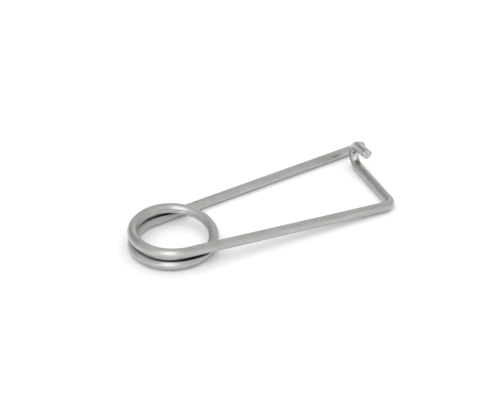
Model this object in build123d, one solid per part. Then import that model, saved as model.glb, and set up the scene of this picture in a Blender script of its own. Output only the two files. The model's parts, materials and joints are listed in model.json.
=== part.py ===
from build123d import *
import os
from math import cos, radians, sin, tan

# Spring cotter pin, bent from one length of round stainless spring wire.
# The wire runs from the cut end of its hook along the crossbar, round a tight
# corner, down the front leg, round the coil and out along the straight pin leg.
# It is shown sprung open, lying on a table: the pin leg has left the hook and
# lies just outside it. All sizes are in millimetres, all angles in degrees.
# +X runs along the pin leg towards its tip, +Z is up.

# Wire
wire_diameter = 3.0
pin_tip_chamfer = 0.4
hook_end_chamfer = 0.2

# Coil, counted in degrees of turn from where the front leg joins it. It climbs a
# little more, stays level and comes down to a lower turn a little towards -X.
coil_inside_diameter = 20.4
strand_gap = 0.85
lower_turn_shift = 0.25
leg_spread = 8.0
climb_height = 0.2
climb_end_turn = 90.0
descent_start_turn = 155.0
descent_end_turn = 365.0
coil_bends = 18

# Legs, measured from the coil to the tip and to the sharp corner
pin_leg_length = 79.0
front_leg_length = 66.7

# Corner, crossbar from the sharp corner to the foot of the hook, and hook
corner_turn = 86.0
corner_bend_radius = 3.2
crossbar_length = 23.5
hook_turn = 176.0
hook_bend_radius = 3.6
hook_end_length = 5.8

# Values worked out from the ones above
wire_radius = wire_diameter / 2
coil_radius = (coil_inside_diameter + wire_diameter) / 2
low_level = wire_radius
high_level = low_level + wire_diameter + strand_gap
coil_turn = 360.0 + 180.0 - leg_spread
bend_turn = coil_turn / coil_bends
bend_reach = coil_radius * tan(radians(bend_turn / 2))
up = Vector(0, 0, 1)


def plan_direction(angle):
    """Unit vector in the table's plane, turned by angle from +X."""
    return Vector(cos(radians(angle)), sin(radians(angle)), 0)


def coil_middle(turn):
    """Middle of the coil after a turn of it, at the height of the wire."""
    share = (turn - descent_start_turn) / (descent_end_turn - descent_start_turn)
    share = min(max(share, 0), 1)
    fall = share**2 * (3 - 2 * share)
    climb_left = max(1 - turn / climb_end_turn, 0) ** 2
    height = high_level + (low_level - high_level) * fall - climb_height * climb_left
    return Vector(-lower_turn_shift * fall, 0, height)


def coil_corner(index):
    """Corner of the polygon round the coil, which winds clockwise seen from above."""
    turn = (index + 0.5) * bend_turn
    angle = 90 + coil_turn - turn
    outline_radius = coil_radius / cos(radians(bend_turn / 2))
    return coil_middle(turn) + plan_direction(angle) * outline_radius


def rounded_corner(before, corner, after, reach):
    """Arc that rounds a corner off, and starts and ends at reach from it."""
    back = (before - corner).normalized()
    onward = (after - corner).normalized()
    half_angle = radians(back.get_angle(onward) / 2)
    radius = reach * tan(half_angle)
    middle = corner + (back + onward).normalized() * (radius / sin(half_angle) - radius)
    return ThreePointArc(corner + back * reach, middle, corner + onward * reach)


def coil_arcs(front_leg_end, pin_tip):
    """Arcs of the coil, each starting where the one before it ends."""
    corners = [coil_corner(index) for index in range(coil_bends)]
    route = [front_leg_end, *corners, pin_tip]
    reach = bend_reach
    arcs = []
    for index in range(coil_bends):
        before, corner, after = route[index : index + 3]
        arcs.append(rounded_corner(before, corner, after, reach))
        reach = (after - corner).length - reach
    return arcs


def hook_lines(foot, heading):
    """Straight free end of the hook, and the bend that brings it down to the crossbar."""

    def on_bend(angle):
        forward = heading * (hook_bend_radius * sin(radians(angle)))
        return foot + forward + up * (hook_bend_radius * (1 - cos(radians(angle))))

    back = heading * cos(radians(hook_turn)) + up * sin(radians(hook_turn))
    free_end = on_bend(hook_turn) + back * hook_end_length
    bend = ThreePointArc(on_bend(hook_turn), on_bend(hook_turn / 2), foot)
    return [Line(free_end, on_bend(hook_turn)), bend]


def wire_path():
    """Centre line of the whole wire, from the cut end of the hook to the pin tip."""
    pin_tip = Vector(pin_leg_length, coil_radius, low_level)
    coil_start = plan_direction(90 + coil_turn) * coil_radius
    corner = coil_start + plan_direction(-leg_spread) * front_leg_length + up * low_level
    heading = plan_direction(corner_turn - leg_spread)
    hook_foot = corner + heading * crossbar_length
    coil = coil_arcs(corner, pin_tip)
    corner_reach = corner_bend_radius * tan(radians(corner_turn / 2))
    bend = rounded_corner(hook_foot, corner, coil_corner(0), corner_reach)
    crossbar = Line(hook_foot, bend @ 0)
    front_leg = Line(bend @ 1, coil[0] @ 0)
    pin_leg = Line(coil[-1] @ 1, pin_tip)
    return [*hook_lines(hook_foot, heading), crossbar, bend, front_leg, *coil, pin_leg]


def spring_wire():
    """The whole wire as one solid, swept along its centre line."""
    path = wire_path()
    free_end = path[0] @ 0
    pin_tip = path[-1] @ 1
    section = Plane(origin=free_end, z_dir=path[0] % 0) * Circle(wire_radius)
    wire = sweep(section, path=Wire([line.edge() for line in path]))
    wire = chamfer(wire.faces().sort_by_distance(pin_tip)[0].edges(), pin_tip_chamfer)
    return chamfer(wire.faces().sort_by_distance(free_end)[0].edges(), hook_end_chamfer)


def main():
    os.makedirs("parts", exist_ok=True)
    wire = spring_wire()
    box = wire.bounding_box()
    # the origin is the middle of the footprint, on the table
    wire = Pos(-box.center().X, -box.center().Y, -box.min.Z) * wire
    export_step(wire, "parts/spring_wire.step")


main()
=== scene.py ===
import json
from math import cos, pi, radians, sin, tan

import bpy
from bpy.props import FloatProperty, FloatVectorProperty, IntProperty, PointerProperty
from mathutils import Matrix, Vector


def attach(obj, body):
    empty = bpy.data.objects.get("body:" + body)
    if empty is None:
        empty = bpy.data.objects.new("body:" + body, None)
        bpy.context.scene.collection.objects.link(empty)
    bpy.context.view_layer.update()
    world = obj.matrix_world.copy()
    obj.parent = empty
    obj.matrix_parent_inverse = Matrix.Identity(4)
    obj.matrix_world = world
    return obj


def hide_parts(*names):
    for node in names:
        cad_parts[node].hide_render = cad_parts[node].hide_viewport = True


bl_info = {
    "name": "Spring Cotter Pin",
    "version": (1, 0, 0),
    "blender": (4, 5, 0),
    "location": "3D View > Sidebar > Cotter Pin",
    "description": "Bends, finishes and lights a spring cotter pin of round satin steel wire",
    "category": "Add Mesh",
}

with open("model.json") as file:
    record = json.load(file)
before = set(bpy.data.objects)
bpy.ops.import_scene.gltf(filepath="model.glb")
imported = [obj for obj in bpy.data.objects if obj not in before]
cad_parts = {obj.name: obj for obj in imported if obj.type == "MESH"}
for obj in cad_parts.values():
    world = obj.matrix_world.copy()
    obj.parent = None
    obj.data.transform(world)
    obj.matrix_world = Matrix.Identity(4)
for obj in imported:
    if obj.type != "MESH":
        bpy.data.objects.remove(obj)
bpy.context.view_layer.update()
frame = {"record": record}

MM = 0.001
UP = Vector((0, 0, 1))
MOUNTS = {mount["name"]: mount for mount in frame["record"]["mounts"]}
PIN_LEG = MOUNTS["pin_leg"]
COIL_CENTRE = Vector((*MOUNTS["coil_eye"]["pos_m"][:2], 0))
PIN_WALL_END = PIN_LEG["pos_m"][0] + PIN_LEG["dims"]["length_mm"] * MM / 2
PIN_TIP_CHAMFER = 0.4 * MM

# wire that lies further on than the spacing is another strand, which is looked for as far
# off as the reach; with none that near, the room beside the skin is taken as NO_STRAND
STRAND_SPACING = 20 * MM
STRAND_REACH = 7 * MM
NO_STRAND = 9 * MM

# a noise pattern counts as 0 below the low value and as 1 above the high one
NOISE_LOW = 0.3
NOISE_HIGH = 0.7

SMOOTH_ANGLE = radians(30)
SENSOR_WIDTH = 36
CLIP_START = 10 * MM

# centre and size in millimetres along and about the straight wire, how ragged, how
# strong, colour
SKIN_MARKS = {
    "tool mark in the hook": ((16.2, -1.10, 0.95), (1.9, 1.1, 1.0), 4.5, 0.85, (0.10, 0.09, 0.05)),
    # the next two are painted reflections in the bend of the hook: a bright strip and a dark spot
    "painted reflection strip in the hook": ((12.8, -1.10, 0.95), (2.2, 0.45, 0.45), 0.6, 0.7, (0.80, 0.80, 0.81)),
    "painted dark reflection in the hook": ((10.3, -1.45, 0.30), (1.1, 0.5, 0.35), 1.0, 0.8, (0.08, 0.08, 0.07)),
    "rub on the hook's end": ((3.0, 1.05, -1.05), (2.6, 0.45, 0.45), 0.5, 0.6, (0.72, 0.70, 0.62)),
    "stain on the pin leg": ((229.7, -1.29, 0.75), (1.2, 0.4, 0.4), 1.0, 0.35, (0.20, 0.13, 0.07)),
    # a real scuff whose light patch is partly a painted highlight, beside the highlight on the back of the
    # coil
    "scuff and painted highlight on the coil": ((150.6, -1.05, -1.05), (1.8, 0.35, 0.35), 2.5, 0.6, (0.85, 0.85, 0.86)),
    "pits in the scuff": ((151.6, -0.80, -1.25), (1.1, 0.25, 0.25), 2.5, 0.6, (0.16, 0.16, 0.15)),
}

# direction, how far it reaches in degrees, change of light
TENT_LOBES = {
    "dim roof on the right": ((0.46, 0.00, 0.89), 45, -0.12),
    "dark panel high at the back": ((-0.05, 0.75, 0.62), 28, -0.26),
    "dim back wall": ((-0.25, 0.95, 0.17), 60, -0.24),
    "dim right wall": ((1.00, 0.00, 0.30), 45, -0.10),
    "bright wall at the front left": ((-0.74, -0.67, 0.00), 60, 0.35),
}


class CotterPinWire(bpy.types.PropertyGroup):
    """Sizes of the bent wire."""

    wire_radius: FloatProperty(
        name="Wire radius",
        description="Half the thickness of the round wire",
        default=PIN_LEG["dims"]["r_mm"] * MM,
        unit="LENGTH",
    )
    pin_tip_chamfer: FloatProperty(
        name="Pin tip chamfer",
        description="Bevel round the tip of the pin leg",
        default=PIN_TIP_CHAMFER,
        unit="LENGTH",
    )
    hook_end_chamfer: FloatProperty(
        name="Hook end chamfer",
        description="Bevel round the cut end of the hook",
        default=0.2 * MM,
        unit="LENGTH",
    )
    coil_radius: FloatProperty(
        name="Coil radius",
        description="From the middle of the coil to the middle of the wire",
        default=PIN_LEG["pos_m"][1] - COIL_CENTRE.y,
        unit="LENGTH",
    )
    strand_gap: FloatProperty(
        name="Strand gap",
        description="Free height between the two turns of the coil",
        default=0.85 * MM,
        unit="LENGTH",
    )
    lower_turn_shift: FloatProperty(
        name="Lower turn shift",
        description="How far the lower turn of the coil lies to the left of the upper one",
        default=0.25 * MM,
        unit="LENGTH",
    )
    leg_spread: FloatProperty(
        name="Leg spread",
        description="Angle between the pin leg and the front leg",
        default=radians(8),
        subtype="ANGLE",
    )
    climb_height: FloatProperty(
        name="Climb height",
        description="How much the wire still climbs after it has joined the coil",
        default=0.2 * MM,
        unit="LENGTH",
    )
    climb_end: FloatProperty(
        name="Climb end",
        description="Turn of the coil after which it is level",
        default=radians(90),
        subtype="ANGLE",
    )
    descent_start: FloatProperty(
        name="Descent start",
        description="Turn of the coil after which it begins to come down",
        default=radians(155),
        subtype="ANGLE",
    )
    descent_end: FloatProperty(
        name="Descent end",
        description="Turn of the coil after which it lies on the table",
        default=radians(365),
        subtype="ANGLE",
    )
    coil_bends: IntProperty(
        name="Coil bends",
        description="How many arcs the coil is bent in",
        default=18,
        min=3,
    )
    pin_leg_length: FloatProperty(
        name="Pin leg length",
        description="From the coil to the tip of the pin leg",
        default=PIN_WALL_END - COIL_CENTRE.x + PIN_TIP_CHAMFER,
        unit="LENGTH",
    )
    front_leg_length: FloatProperty(
        name="Front leg length",
        description="From the coil to the sharp corner of the front leg",
        default=66.7 * MM,
        unit="LENGTH",
    )
    corner_turn: FloatProperty(
        name="Corner turn",
        description="How far the wire turns at the corner",
        default=radians(86),
        subtype="ANGLE",
    )
    corner_bend_radius: FloatProperty(
        name="Corner bend radius",
        description="Radius of the corner, at the middle of the wire",
        default=3.2 * MM,
        unit="LENGTH",
    )
    crossbar_length: FloatProperty(
        name="Crossbar length",
        description="From the sharp corner to the foot of the hook",
        default=23.5 * MM,
        unit="LENGTH",
    )
    hook_turn: FloatProperty(
        name="Hook turn",
        description="How far the hook is bent back over the crossbar",
        default=radians(176),
        subtype="ANGLE",
    )
    hook_bend_radius: FloatProperty(
        name="Hook bend radius",
        description="Radius of the hook, at the middle of the wire",
        default=3.6 * MM,
        unit="LENGTH",
    )
    hook_end_length: FloatProperty(
        name="Hook end length",
        description="Straight free end of the hook",
        default=5.8 * MM,
        unit="LENGTH",
    )
    sides: IntProperty(
        name="Sides",
        description="Faces round the wire",
        default=64,
        min=8,
    )
    straight_pitch: FloatProperty(
        name="Straight pitch",
        description="Length of a face along the straight runs",
        default=1.0 * MM,
        unit="LENGTH",
    )
    coil_pitch: FloatProperty(
        name="Coil pitch",
        description="Length of a face along the coil",
        default=0.5 * MM,
        unit="LENGTH",
    )
    hook_pitch: FloatProperty(
        name="Hook pitch",
        description="Length of a face along the hook and the corner",
        default=0.2 * MM,
        unit="LENGTH",
    )


class CotterPinSteel(bpy.types.PropertyGroup):
    """Finish of the steel, and the shade painted in the crease of the coil."""

    steel_colour: FloatVectorProperty(
        name="Steel",
        description="Colour of the drawn steel",
        default=(0.523, 0.523, 0.517),
        subtype="COLOR",
        min=0,
        max=1,
    )
    line_colour: FloatVectorProperty(
        name="Draw lines",
        description="Colour of the steel in its draw lines and patches",
        default=(0.397, 0.397, 0.388),
        subtype="COLOR",
        min=0,
        max=1,
    )
    line_length: FloatProperty(
        name="Draw line length",
        description="How long the draw lines are, in millimetres",
        default=9.0,
        min=0.1,
    )
    line_width: FloatProperty(
        name="Draw line width",
        description="How wide the draw lines are, in millimetres",
        default=0.4,
        min=0.01,
    )
    line_share: FloatProperty(
        name="Draw line share",
        description="How much the draw lines show",
        default=0.9,
        subtype="FACTOR",
        min=0,
        max=1,
    )
    patch_size: FloatProperty(
        name="Patch size",
        description="Size of the cloudy patches, in millimetres",
        default=2.5,
        min=0.1,
    )
    patch_share: FloatProperty(
        name="Patch share",
        description="How much the cloudy patches show",
        default=0.5,
        subtype="FACTOR",
        min=0,
        max=1,
    )
    skin_roughness: FloatProperty(
        name="Satin",
        description="Roughness of the drawn skin",
        default=0.34,
        subtype="FACTOR",
        min=0,
        max=1,
    )
    anisotropy: FloatProperty(
        name="Anisotropy",
        description="How much more the skin scatters light round the wire than along it",
        default=0.6,
        subtype="FACTOR",
        min=0,
        max=1,
    )
    # painted shade: a dark colour that stands in for the shade in the crease of the coil
    film_colour: FloatVectorProperty(
        name="Crease film",
        description="Colour of the film between two strands",
        default=(0.03, 0.03, 0.028),
        subtype="COLOR",
        min=0,
        max=1,
    )
    film_reach: FloatProperty(
        name="Film reach",
        description="How near the next strand must be for the film, in millimetres",
        default=0.97,
        min=0,
    )
    film_share: FloatProperty(
        name="Film share",
        description="How much of the steel the film hides",
        default=0.92,
        subtype="FACTOR",
        min=0,
        max=1,
    )
    cut_colour: FloatVectorProperty(
        name="Cut face",
        description="Colour of the cut faces",
        default=(0.62, 0.62, 0.63),
        subtype="COLOR",
        min=0,
        max=1,
    )
    torn_colour: FloatVectorProperty(
        name="Torn patches",
        description="Colour of the torn patches of a cut face",
        default=(0.36, 0.36, 0.37),
        subtype="COLOR",
        min=0,
        max=1,
    )
    torn_size: FloatProperty(
        name="Torn patch size",
        description="Size of the torn patches, in millimetres",
        default=0.8,
        min=0.1,
    )
    cut_roughness: FloatProperty(
        name="Cut roughness",
        description="Roughness of the cut faces",
        default=0.5,
        subtype="FACTOR",
        min=0,
        max=1,
    )


class CotterPinStage(bpy.types.PropertyGroup):
    """Table, light and camera."""

    table_size: FloatProperty(
        name="Table size",
        description="Side of the square table top",
        default=4.0,
        unit="LENGTH",
    )
    table_colour: FloatVectorProperty(
        name="Table",
        description="Colour of the table top",
        default=(0.82, 0.82, 0.83),
        subtype="COLOR",
        min=0,
        max=1,
    )
    table_lift: FloatProperty(
        name="Table lift",
        description="White that the table adds where it is seen, so that it clips to white",
        default=0.055,
        min=0,
    )
    table_glow: FloatProperty(
        name="Table glow",
        description="Light that the white table gives off in the reflections on the steel",
        default=0.14,
        min=0,
    )
    table_glow_colour: FloatVectorProperty(
        name="Table glow colour",
        description="Colour of the table's glow in the reflections on the steel",
        default=(0.90, 0.93, 1.0),
        subtype="COLOR",
        min=0,
        max=1,
    )
    look_point: FloatVectorProperty(
        name="Look point",
        description="Place on the table in the middle of the picture",
        default=(-1.67 * MM, 11.58 * MM, 0),
        subtype="XYZ",
        unit="LENGTH",
    )
    camera_distance: FloatProperty(
        name="Camera distance",
        description="From the camera to the look point",
        default=330 * MM,
        unit="LENGTH",
    )
    camera_azimuth: FloatProperty(
        name="Camera azimuth",
        description="How far the camera stands turned from the front",
        default=radians(-33.6),
        subtype="ANGLE",
    )
    camera_elevation: FloatProperty(
        name="Camera elevation",
        description="How far the camera looks down",
        default=radians(33.63),
        subtype="ANGLE",
    )
    camera_lens: FloatProperty(
        name="Lens",
        description="Focal length on a sensor 36 mm wide, in millimetres",
        default=77.3,
    )
    tent_strength: FloatProperty(
        name="Tent",
        description="Strength of the light tent all round",
        default=0.94,
        min=0,
    )
    ceiling_strength: FloatProperty(
        name="Ceiling",
        description="Strength of the light that the table gets from every side",
        default=0.4,
        min=0,
    )
    overhead_strength: FloatProperty(
        name="Overhead",
        description="How much more light the table gets from straight overhead",
        default=1.26,
        min=0,
    )
    tent_colour: FloatVectorProperty(
        name="Tent colour",
        description="Tint of the light tent as the steel reflects it",
        default=(1.0, 1.0, 0.975),
        subtype="COLOR",
        min=0,
        max=1,
    )
    softbox_turn: FloatProperty(
        name="Softbox turn",
        description="How far the softbox stands turned from the camera",
        default=radians(-13),
        subtype="ANGLE",
    )
    softbox_elevation: FloatProperty(
        name="Softbox elevation",
        description="How far the softbox shines down",
        default=radians(48),
        subtype="ANGLE",
    )
    softbox_distance: FloatProperty(
        name="Softbox distance",
        description="From the softbox to the middle of the table",
        default=600 * MM,
        unit="LENGTH",
    )
    softbox_width: FloatProperty(
        name="Softbox width",
        description="Width of the softbox",
        default=320 * MM,
        unit="LENGTH",
    )
    softbox_height: FloatProperty(
        name="Softbox height",
        description="Height of the softbox",
        default=620 * MM,
        unit="LENGTH",
    )
    softbox_strength: FloatProperty(
        name="Softbox",
        description="Brightness of the softbox against a white surface",
        default=1.5,
        min=0,
    )


def plan_direction(angle):
    """Level unit vector, turned by angle from the direction of the pin leg."""
    return Vector((cos(angle), sin(angle), 0))


class WireBender:
    """Draws a wire ring by ring, as a bench bender feeds and bends it."""

    def __init__(self, start, heading, radius, sides):
        self.point = start
        self.heading = heading.normalized()
        self.side = self.heading.orthogonal().normalized()
        self.fed = 0.0
        self.stations = []
        self.note()
        facing = Matrix((self.side, self.heading.cross(self.side), self.heading)).transposed()
        bpy.ops.object.select_all(action="DESELECT")
        bpy.ops.mesh.primitive_circle_add(
            vertices=sides, radius=radius, fill_type="NOTHING", location=start, rotation=facing.to_euler()
        )
        bpy.ops.object.transform_apply(location=True, rotation=True, scale=True)
        self.wire = bpy.context.object
        bpy.ops.object.mode_set(mode="EDIT")
        bpy.ops.mesh.select_all(action="SELECT")

    def note(self):
        """Notes where the newest ring is, and how much wire has been fed."""
        self.stations.append((self.fed, self.point.copy(), self.heading.copy(), self.side.copy()))

    def feed(self, length, pitch):
        """Straight run."""
        steps = round(length / pitch)
        for _ in range(steps):
            step = self.heading * (length / steps)
            bpy.ops.mesh.extrude_region_move(TRANSFORM_OT_translate={"value": step})
            self.point = self.point + step
            self.fed += length / steps
            self.note()

    def widen(self, share):
        """Makes the newest ring wider or narrower about the wire's middle."""
        bpy.ops.transform.resize(value=(share, share, share), center_override=self.point)

    def bend(self, axis, bend_radius, turn, pitch):
        """Bend about an axis, which the wire passes on its left."""
        centre = self.point + axis.cross(self.heading) * bend_radius
        steps = max(1, round(turn * bend_radius / pitch))
        # with no window open, spin turns the other way
        bpy.ops.mesh.spin(steps=steps, angle=-turn, center=centre, axis=axis)
        step = Matrix.Rotation(turn / steps, 3, axis)
        for _ in range(steps):
            self.point = centre + step @ (self.point - centre)
            self.heading = (step @ self.heading).normalized()
            self.side = (step @ self.side).normalized()
            self.fed += turn * bend_radius / steps
            self.note()

    def round_corner(self, corner, after, reach, run_pitch, bend_pitch):
        """Runs to within reach of a corner, then bends towards the next one."""
        onward = (after - corner).normalized()
        turn = self.heading.angle(onward)
        axis = self.heading.cross(onward).normalized()
        self.feed((corner - self.point).length - reach, run_pitch)
        self.bend(axis, reach / tan(turn / 2), turn, bend_pitch)


def coil_middle(sizes, turn):
    """Middle of the coil after a turn of it, at the height of the wire."""
    low = sizes.wire_radius
    high = low + 2 * sizes.wire_radius + sizes.strand_gap
    share = (turn - sizes.descent_start) / (sizes.descent_end - sizes.descent_start)
    share = min(max(share, 0), 1)
    fall = share**2 * (3 - 2 * share)
    climb_left = max(1 - turn / sizes.climb_end, 0) ** 2
    height = high + (low - high) * fall - sizes.climb_height * climb_left
    return COIL_CENTRE + Vector((-sizes.lower_turn_shift * fall, 0, height))


def coil_corners(sizes, coil_turn):
    """Corners of the polygon round the coil, which winds clockwise seen from above."""
    bend_turn = coil_turn / sizes.coil_bends
    outline_radius = sizes.coil_radius / cos(bend_turn / 2)
    corners = []
    for index in range(sizes.coil_bends):
        turn = (index + 0.5) * bend_turn
        place = plan_direction(pi / 2 + coil_turn - turn) * outline_radius
        corners.append(coil_middle(sizes, turn) + place)
    return corners


def bend_wire(sizes):
    """Bends the whole wire, from the cut end of the hook to the tip of the pin leg."""
    level = UP * sizes.wire_radius
    coil_turn = 3 * pi - sizes.leg_spread
    corners = coil_corners(sizes, coil_turn)
    coil_start = COIL_CENTRE + plan_direction(pi / 2 + coil_turn) * sizes.coil_radius
    corner = coil_start + plan_direction(-sizes.leg_spread) * sizes.front_leg_length + level
    heading = plan_direction(sizes.corner_turn - sizes.leg_spread)
    foot = corner + heading * sizes.crossbar_length
    pin_tip = COIL_CENTRE + Vector((sizes.pin_leg_length, sizes.coil_radius, sizes.wire_radius))

    # free end of the hook, which points back over the crossbar
    back = heading * cos(sizes.hook_turn) + UP * sin(sizes.hook_turn)
    rise = UP * (1 - cos(sizes.hook_turn)) + heading * sin(sizes.hook_turn)
    free_end = foot + rise * sizes.hook_bend_radius + back * sizes.hook_end_length
    cut_radius = sizes.wire_radius - sizes.hook_end_chamfer
    bender = WireBender(free_end, -back, cut_radius, sizes.sides)
    bender.feed(sizes.hook_end_chamfer, sizes.hook_end_chamfer)
    bender.widen(sizes.wire_radius / cut_radius)
    bender.feed(sizes.hook_end_length - sizes.hook_end_chamfer, sizes.hook_pitch)
    bender.bend(UP.cross(heading), sizes.hook_bend_radius, sizes.hook_turn, sizes.hook_pitch)

    # crossbar and corner
    corner_reach = sizes.corner_bend_radius * tan(sizes.corner_turn / 2)
    bender.round_corner(corner, corners[0], corner_reach, sizes.straight_pitch, sizes.hook_pitch)

    # front leg and coil
    route = [*corners, pin_tip]
    reach = sizes.coil_radius * tan(coil_turn / sizes.coil_bends / 2)
    for place, after in zip(route, route[1:]):
        bender.round_corner(place, after, reach, sizes.straight_pitch, sizes.coil_pitch)
        reach = (after - place).length - reach

    # pin leg, which narrows at its tip
    pin_leg = (pin_tip - bender.point).length - sizes.pin_tip_chamfer
    bender.feed(pin_leg, sizes.straight_pitch)
    bender.feed(sizes.pin_tip_chamfer, sizes.pin_tip_chamfer)
    bender.widen(1 - sizes.pin_tip_chamfer / sizes.wire_radius)
    return bender


def select_ring(wire, first, count):
    """Selects one ring of the wire by the numbers of its corners."""
    bpy.ops.mesh.select_all(action="DESELECT")
    bpy.ops.object.mode_set(mode="OBJECT")
    for index in range(first, first + count):
        wire.data.vertices[index].select = True
    bpy.ops.object.mode_set(mode="EDIT")


def close_end(wire, first, sides, radius):
    """Closes an open end of the wire with a flat face of rings round a middle point."""
    select_ring(wire, first, sides)
    bpy.ops.mesh.edge_face_add()
    rings = 8
    for _ in range(rings):
        bpy.ops.mesh.inset(thickness=radius / (rings + 1), depth=0)
    bpy.ops.mesh.poke()


def strands_nearby(stations, fed, point):
    """Rings of other strands that pass near a point of the wire."""
    others = [station for station in stations if abs(station[0] - fed) > STRAND_SPACING]
    return [station for station in others if (station[1] - point).length < STRAND_REACH]


def room_to(place, strands, wire_radius):
    """Free distance from a place on the skin to the nearest other strand."""
    if not strands:
        return NO_STRAND
    _, point, heading, _ = min(strands, key=lambda strand: (place - strand[1]).length)
    offset = place - point
    return (offset - heading * offset.dot(heading)).length - wire_radius


def mark_skin(wire, stations, sizes):
    """Writes on each point of the skin what the finish follows.

    unbent is where the point was on the straight wire, in millimetres, run is the way the
    wire runs there, and room is how many millimetres off the next strand is.
    """
    for name, kind in (("unbent", "FLOAT_VECTOR"), ("run", "FLOAT_VECTOR"), ("room", "FLOAT")):
        wire.data.attributes.new(name, kind, "POINT")
    unbent, run, room = (wire.data.attributes[name].data for name in ("unbent", "run", "room"))
    nearby = [strands_nearby(stations, station[0], station[1]) for station in stations]
    ends = (0, len(stations) - 1)
    for vertex in wire.data.vertices:
        ring = vertex.index // sizes.sides
        # the points of the flat ends came after those of the skin
        if ring > ends[1]:
            ring = min(ends, key=lambda end: (vertex.co - stations[end][1]).length)
        fed, point, heading, side = stations[ring]
        offset = vertex.co - point
        across = heading.cross(side)
        along = fed + offset.dot(heading)
        unbent[vertex.index].vector = Vector((along, offset.dot(side), offset.dot(across))) / MM
        run[vertex.index].vector = heading
        room[vertex.index].value = room_to(vertex.co, nearby[ring], sizes.wire_radius) / MM


def add_node(tree, kind, settings=None, inputs=None):
    """Adds a node, gives it its settings, and links or sets its inputs."""
    node = tree.nodes.new(kind)
    for name, value in (settings or {}).items():
        setattr(node, name, value)
    for name, value in (inputs or {}).items():
        if isinstance(value, bpy.types.NodeSocket):
            tree.links.new(value, node.inputs[name])
        else:
            node.inputs[name].default_value = value
    return node


def new_group(name, inputs, outputs):
    """Makes an empty shader node group with its sockets, and returns its two end nodes."""
    group = bpy.data.node_groups.new(name, "ShaderNodeTree")
    for socket, kind, value in inputs:
        made = group.interface.new_socket(socket, in_out="INPUT", socket_type=kind)
        made.default_value = value
    for socket, kind in outputs:
        group.interface.new_socket(socket, in_out="OUTPUT", socket_type=kind)
    return group, group.nodes.new("NodeGroupInput"), group.nodes.new("NodeGroupOutput")


def link(tree, source, node, socket):
    """Links an output to an input, by its name or its number."""
    tree.links.new(source, node.inputs[socket])


def number_math(tree, operation, *values):
    """Result of a Math node, whose values are outputs or constants."""
    inputs = dict(enumerate(values))
    return add_node(tree, "ShaderNodeMath", {"operation": operation}, inputs).outputs[0]


def vector_math(tree, operation, *values, output="Vector"):
    """Result of a Vector Math node, whose values are outputs or constants."""
    inputs = dict(enumerate(values))
    return add_node(tree, "ShaderNodeVectorMath", {"operation": operation}, inputs).outputs[output]


def noise(tree, place, scale, detail, roughness):
    """Strength of a noise pattern at a place."""
    return add_node(tree, "ShaderNodeTexNoise", None, {
        "Vector": place, "Scale": scale, "Detail": detail, "Roughness": roughness,
    }).outputs["Fac"]


def fade(tree, value, start, end):
    """Smooth change from 0 at start to 1 at end."""
    return add_node(tree, "ShaderNodeMapRange", {"interpolation_type": "SMOOTHSTEP"}, {
        "Value": value, "From Min": start, "From Max": end,
    }).outputs["Result"]


def draw_line_group():
    """Fine lines that run along drawn wire."""
    group, given, result = new_group(
        "Draw lines",
        [
            ("Place", "NodeSocketVector", (0, 0, 0)),
            ("Length", "NodeSocketFloat", 9.0),
            ("Width", "NodeSocketFloat", 0.4),
        ],
        [("Lines", "NodeSocketFloat")],
    )
    size = add_node(group, "ShaderNodeCombineXYZ", None, {
        "X": given.outputs["Length"], "Y": given.outputs["Width"], "Z": given.outputs["Width"],
    }).outputs[0]
    place = vector_math(group, "DIVIDE", given.outputs["Place"], size)
    lines = noise(group, place, scale=1.0, detail=3.0, roughness=0.6)
    link(group, fade(group, lines, NOISE_LOW, NOISE_HIGH), result, "Lines")
    return group


def mottle_group():
    """Soft cloudy patches, as on pickled or handled steel."""
    group, given, result = new_group(
        "Mottle",
        [("Place", "NodeSocketVector", (0, 0, 0)), ("Size", "NodeSocketFloat", 1.0)],
        [("Patches", "NodeSocketFloat")],
    )
    place = vector_math(group, "DIVIDE", given.outputs["Place"], given.outputs["Size"])
    patches = noise(group, place, scale=1.0, detail=4.0, roughness=0.55)
    link(group, fade(group, patches, NOISE_LOW, NOISE_HIGH), result, "Patches")
    return group


def mark_group():
    """Round or long mark about a place, with a ragged edge."""
    group, given, result = new_group(
        "Mark",
        [
            ("Place", "NodeSocketVector", (0, 0, 0)),
            ("Centre", "NodeSocketVector", (0, 0, 0)),
            ("Size", "NodeSocketVector", (1, 1, 1)),
            ("Ragged", "NodeSocketFloat", 0.5),
        ],
        [("Mask", "NodeSocketFloat")],
    )
    offset = vector_math(group, "SUBTRACT", given.outputs["Place"], given.outputs["Centre"])
    scaled = vector_math(group, "DIVIDE", offset, given.outputs["Size"])
    far = vector_math(group, "LENGTH", scaled, output="Value")
    torn = noise(group, given.outputs["Place"], scale=2.8, detail=3.0, roughness=0.7)
    centred = number_math(group, "SUBTRACT", torn, 0.5)
    edge = number_math(group, "MULTIPLY_ADD", centred, given.outputs["Ragged"], far)
    # a whole mark at its middle, and none past its size
    link(group, fade(group, edge, 1.0, 0.6), result, "Mask")
    return group


def crease_group():
    """Painted shade where two strands of wire nearly touch: a dark colour that stands in for the shade in
    the crease.
    """
    group, given, result = new_group(
        "Crease film",
        [("Room", "NodeSocketFloat", 9.0), ("Reach", "NodeSocketFloat", 1.0)],
        [("Film", "NodeSocketFloat")],
    )
    share = number_math(group, "DIVIDE", given.outputs["Room"], given.outputs["Reach"])
    # no painted shade at the reach, and all of it soon within
    link(group, fade(group, share, 1.0, 0.8), result, "Film")
    return group


def group_node(tree, group, inputs, output):
    """Places a node group and returns one of its outputs."""
    return add_node(tree, "ShaderNodeGroup", {"node_tree": group}, inputs).outputs[output]


def tinted(tree, base, share, colour):
    """Mixes a colour over another by a mask."""
    mix = add_node(tree, "ShaderNodeMix", {"data_type": "RGBA"})
    link(tree, share, mix, "Factor")
    for socket, value in ((6, base), (7, colour)):
        if isinstance(value, bpy.types.NodeSocket):
            link(tree, value, mix, socket)
        else:
            mix.inputs[socket].default_value = (*value, 1)
    return mix.outputs[2]


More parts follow.
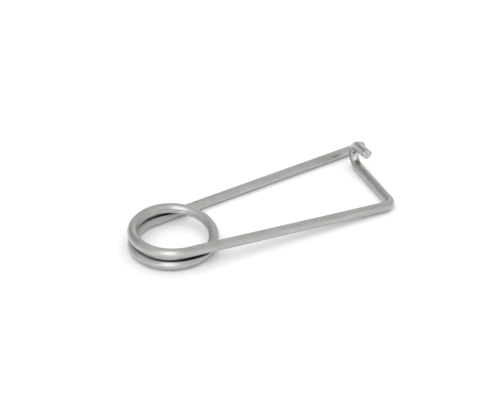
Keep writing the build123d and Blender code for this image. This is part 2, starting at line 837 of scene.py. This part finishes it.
def mixed(tree, first, second, share):
    """Mixes two numbers, each an output or a constant."""
    return add_node(tree, "ShaderNodeMix", {"data_type": "FLOAT"}, {
        "Factor": share, "A": first, "B": second,
    }).outputs["Result"]


def bump(tree, height, strength, distance):
    """Normal of a surface that a pattern makes uneven."""
    return add_node(tree, "ShaderNodeBump", None, {
        "Height": height, "Strength": strength, "Distance": distance,
    }).outputs["Normal"]


def new_steel(name, roughness):
    """Material of bare steel, with its node tree and its shader."""
    material = bpy.data.materials.new(name)
    material.use_nodes = True
    shader = material.node_tree.nodes["Principled BSDF"]
    shader.inputs["Metallic"].default_value = 1.0
    shader.inputs["Roughness"].default_value = roughness
    return material, material.node_tree, shader


def drawn_steel(finish, groups):
    """Satin skin of the drawn wire, with what its bending and handling left on it, and painted shade,
    reflections and a highlight.
    """
    material, tree, shader = new_steel("Drawn steel with painted light and shade", finish.skin_roughness)
    place = add_node(tree, "ShaderNodeAttribute", {"attribute_name": "unbent"}).outputs["Vector"]
    run = add_node(tree, "ShaderNodeAttribute", {"attribute_name": "run"}).outputs["Vector"]
    room = add_node(tree, "ShaderNodeAttribute", {"attribute_name": "room"}).outputs["Fac"]

    # steel, its draw lines and its cloudy patches
    lines = group_node(tree, groups["lines"], {
        "Place": place, "Length": finish.line_length, "Width": finish.line_width,
    }, "Lines")
    patches = group_node(tree, groups["mottle"], {"Place": place, "Size": finish.patch_size}, "Patches")
    colour = finish.steel_colour
    for mask, share in ((lines, finish.line_share), (patches, finish.patch_share)):
        colour = tinted(tree, colour, number_math(tree, "MULTIPLY", mask, share), finish.line_colour)

    # marks, in millimetres along and about the straight wire; some of them are painted reflections and a
    # painted highlight
    for centre, size, ragged, strength, tint in SKIN_MARKS.values():
        mark = group_node(tree, groups["mark"], {
            "Place": place, "Centre": centre, "Size": size, "Ragged": ragged,
        }, "Mask")
        colour = tinted(tree, colour, number_math(tree, "MULTIPLY", mark, strength), tint)

    # painted shade in the crease of the coil: a dark colour where the strands nearly touch
    film = group_node(tree, groups["crease"], {"Room": room, "Reach": finish.film_reach}, "Film")
    colour = tinted(tree, colour, number_math(tree, "MULTIPLY", film, finish.film_share), finish.film_colour)
    link(tree, colour, shader, "Base Color")

    # the lines scatter light round the wire, not along it
    shader.inputs["Anisotropic"].default_value = finish.anisotropy
    normal = add_node(tree, "ShaderNodeNewGeometry").outputs["Normal"]
    link(tree, vector_math(tree, "CROSS_PRODUCT", normal, run), shader, "Tangent")
    link(tree, bump(tree, lines, strength=0.2, distance=0.02 * MM), shader, "Normal")
    return material


def sheared_steel(finish, groups):
    """Torn, mottled face where the wire was cut."""
    material, tree, shader = new_steel("Sheared steel", finish.cut_roughness)
    place = add_node(tree, "ShaderNodeAttribute", {"attribute_name": "unbent"}).outputs["Vector"]
    grain = group_node(tree, groups["mottle"], {"Place": place, "Size": finish.torn_size}, "Patches")
    colour = tinted(tree, finish.cut_colour, grain, finish.torn_colour)
    link(tree, colour, shader, "Base Color")
    link(tree, bump(tree, grain, strength=0.4, distance=0.08 * MM), shader, "Normal")
    return material


def paint_cut_faces(wire, skin_points):
    """Gives the flat ends, whose points came after those of the skin, the second material."""
    for face in wire.data.polygons:
        if max(face.vertices) >= skin_points:
            face.material_index = 1


class COTTERPIN_OT_wire(bpy.types.Operator):
    """Bend the wire of the cotter pin and give it its satin finish"""

    bl_idname = "cotterpin.wire"
    bl_label = "Bend Wire"

    def execute(self, context):
        sizes = context.scene.cotter_pin_wire
        bender = bend_wire(sizes)
        wire = bender.wire
        rings = len(bender.stations)
        close_end(wire, (rings - 1) * sizes.sides, sizes.sides, sizes.wire_radius - sizes.pin_tip_chamfer)
        close_end(wire, 0, sizes.sides, sizes.wire_radius - sizes.hook_end_chamfer)
        bpy.ops.mesh.select_all(action="SELECT")
        bpy.ops.mesh.normals_make_consistent(inside=False)
        bpy.ops.object.mode_set(mode="OBJECT")
        mark_skin(wire, bender.stations, sizes)
        bpy.ops.object.shade_smooth_by_angle(angle=SMOOTH_ANGLE)
        wire.name = "bent_wire"
        wire.data.name = "bent_wire"
        finish = context.scene.cotter_pin_steel
        groups = {
            "lines": draw_line_group(),
            "mottle": mottle_group(),
            "mark": mark_group(),
            "crease": crease_group(),
        }
        wire.data.materials.append(drawn_steel(finish, groups))
        wire.data.materials.append(sheared_steel(finish, groups))
        paint_cut_faces(wire, rings * sizes.sides)
        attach(wire, "root")
        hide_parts("spring_wire")
        return {"FINISHED"}


def table_material(stage):
    """White table, which clips to white where it is seen and keeps its shadows."""
    material = bpy.data.materials.new("White table")
    material.use_nodes = True
    tree = material.node_tree
    tree.nodes.clear()
    output = tree.nodes.new("ShaderNodeOutputMaterial")
    skin = add_node(tree, "ShaderNodeBsdfDiffuse", None, {"Color": (*stage.table_colour, 1)})
    shiny = add_node(tree, "ShaderNodeLightPath").outputs["Is Glossy Ray"]
    lift = mixed(tree, stage.table_lift, stage.table_glow, shiny)
    glow = add_node(tree, "ShaderNodeEmission", None, {
        "Color": tinted(tree, (1, 1, 1), shiny, stage.table_glow_colour),
        "Strength": number_math(tree, "MULTIPLY", seen_rays(tree), lift),
    })
    both = add_node(tree, "ShaderNodeAddShader", None, {0: skin.outputs[0], 1: glow.outputs[0]})
    link(tree, both.outputs[0], output, "Surface")
    return material


def seen_rays(tree):
    """1 on rays from the camera, and on those that a shiny or clear surface sends on."""
    rays = add_node(tree, "ShaderNodeLightPath")
    total = rays.outputs["Is Camera Ray"]
    for name in ("Is Glossy Ray", "Is Transmission Ray"):
        total = number_math(tree, "MAXIMUM", total, rays.outputs[name])
    return total


def add_tent_lobe(tree, way, light, direction, reach, change):
    """Makes the tent lighter or darker in one direction, fading out at an angle of reach."""
    near = vector_math(tree, "DOT_PRODUCT", way, direction.normalized(), output="Value")
    lobe = add_node(tree, "ShaderNodeMapRange", {"interpolation_type": "SMOOTHERSTEP"}, {
        "Value": near, "From Min": cos(reach), "From Max": 1.0, "To Min": 0.0, "To Max": change,
    })
    return number_math(tree, "ADD", light, lobe.outputs["Result"])


def light_tent(stage):
    """Light tent all round: lobes for the steel, overhead light for the table, white behind."""
    world = bpy.data.worlds.new("Light tent")
    bpy.context.scene.world = world
    world.use_nodes = True
    tree = world.node_tree
    way = add_node(tree, "ShaderNodeTexCoord").outputs["Generated"]
    tent = stage.tent_strength
    for direction, reach, change in TENT_LOBES.values():
        tent = add_tent_lobe(tree, way, tent, Vector(direction), radians(reach), change)
    ceiling = add_tent_lobe(tree, way, stage.ceiling_strength, UP, radians(90), stage.overhead_strength)
    rays = add_node(tree, "ShaderNodeLightPath")
    shiny = rays.outputs["Is Glossy Ray"]
    light = mixed(tree, ceiling, tent, shiny)
    shine = tree.nodes["Background"]
    link(tree, tinted(tree, (1, 1, 1), shiny, stage.tent_colour), shine, "Color")
    link(tree, mixed(tree, light, 1.0, rays.outputs["Is Camera Ray"]), shine, "Strength")


def stand_direction(azimuth, elevation):
    """Unit vector from the table to a camera or lamp, azimuth 0 being the front."""
    level = Vector((sin(azimuth), -cos(azimuth), 0))
    return level * cos(elevation) + UP * sin(elevation)


def aim(thing, target):
    """Points a camera or a lamp at a place."""
    thing.rotation_euler = (target - thing.location).to_track_quat("-Z", "Y").to_euler()


def add_camera(stage):
    """Camera at the angle of the photograph."""
    target = Vector(stage.look_point)
    way = stand_direction(stage.camera_azimuth, stage.camera_elevation)
    bpy.ops.object.camera_add(location=target + way * stage.camera_distance)
    camera = bpy.context.object
    camera.name = "Camera"
    aim(camera, target)
    camera.data.sensor_width = SENSOR_WIDTH
    camera.data.lens = stage.camera_lens
    camera.data.clip_start = CLIP_START
    bpy.context.scene.camera = camera


def add_softbox(stage):
    """Lamp of an even brightness, turned to the middle of the table, that only the steel shows."""
    way = stand_direction(stage.camera_azimuth + stage.softbox_turn, stage.softbox_elevation)
    bpy.ops.object.light_add(type="AREA", location=way * stage.softbox_distance)
    lamp = bpy.context.object
    lamp.name = "Front softbox"
    aim(lamp, Vector((0, 0, 0)))
    lamp.data.shape = "RECTANGLE"
    lamp.data.size = stage.softbox_width
    lamp.data.size_y = stage.softbox_height
    lamp.data.energy = stage.softbox_strength * pi * stage.softbox_width * stage.softbox_height
    lamp.visible_diffuse = False


class COTTERPIN_OT_stage(bpy.types.Operator):
    """Lay the white table and set up the light tent, the softbox and the camera"""

    bl_idname = "cotterpin.stage"
    bl_label = "Set Stage"

    def execute(self, context):
        stage = context.scene.cotter_pin_stage
        bpy.ops.object.select_all(action="DESELECT")
        bpy.ops.mesh.primitive_plane_add(size=stage.table_size)
        table = context.object
        table.name = "table"
        table.data.materials.append(table_material(stage))
        light_tent(stage)
        add_softbox(stage)
        add_camera(stage)
        context.scene.view_settings.view_transform = "Standard"
        return {"FINISHED"}


class COTTERPIN_PT_panel(bpy.types.Panel):
    """Settings and steps of the cotter pin"""

    bl_label = "Spring Cotter Pin"
    bl_idname = "COTTERPIN_PT_panel"
    bl_space_type = "VIEW_3D"
    bl_region_type = "UI"
    bl_category = "Cotter Pin"

    def draw(self, context):
        layout = self.layout
        for group, operator in (
            (context.scene.cotter_pin_wire, None),
            (context.scene.cotter_pin_steel, "cotterpin.wire"),
            (context.scene.cotter_pin_stage, "cotterpin.stage"),
        ):
            box = layout.box()
            for name in group.bl_rna.properties.keys():
                if name not in ("rna_type", "name"):
                    box.prop(group, name)
            if operator:
                box.operator(operator)


CLASSES = (
    CotterPinWire,
    CotterPinSteel,
    CotterPinStage,
    COTTERPIN_OT_wire,
    COTTERPIN_OT_stage,
    COTTERPIN_PT_panel,
)


def register():
    for cls in CLASSES:
        bpy.utils.register_class(cls)
    bpy.types.Scene.cotter_pin_wire = PointerProperty(type=CotterPinWire)
    bpy.types.Scene.cotter_pin_steel = PointerProperty(type=CotterPinSteel)
    bpy.types.Scene.cotter_pin_stage = PointerProperty(type=CotterPinStage)


def unregister():
    del bpy.types.Scene.cotter_pin_stage
    del bpy.types.Scene.cotter_pin_steel
    del bpy.types.Scene.cotter_pin_wire
    for cls in reversed(CLASSES):
        bpy.utils.unregister_class(cls)


def main():
    register()
    bpy.ops.cotterpin.stage()
    bpy.ops.cotterpin.wire()


if __name__ == "__main__":
    main()
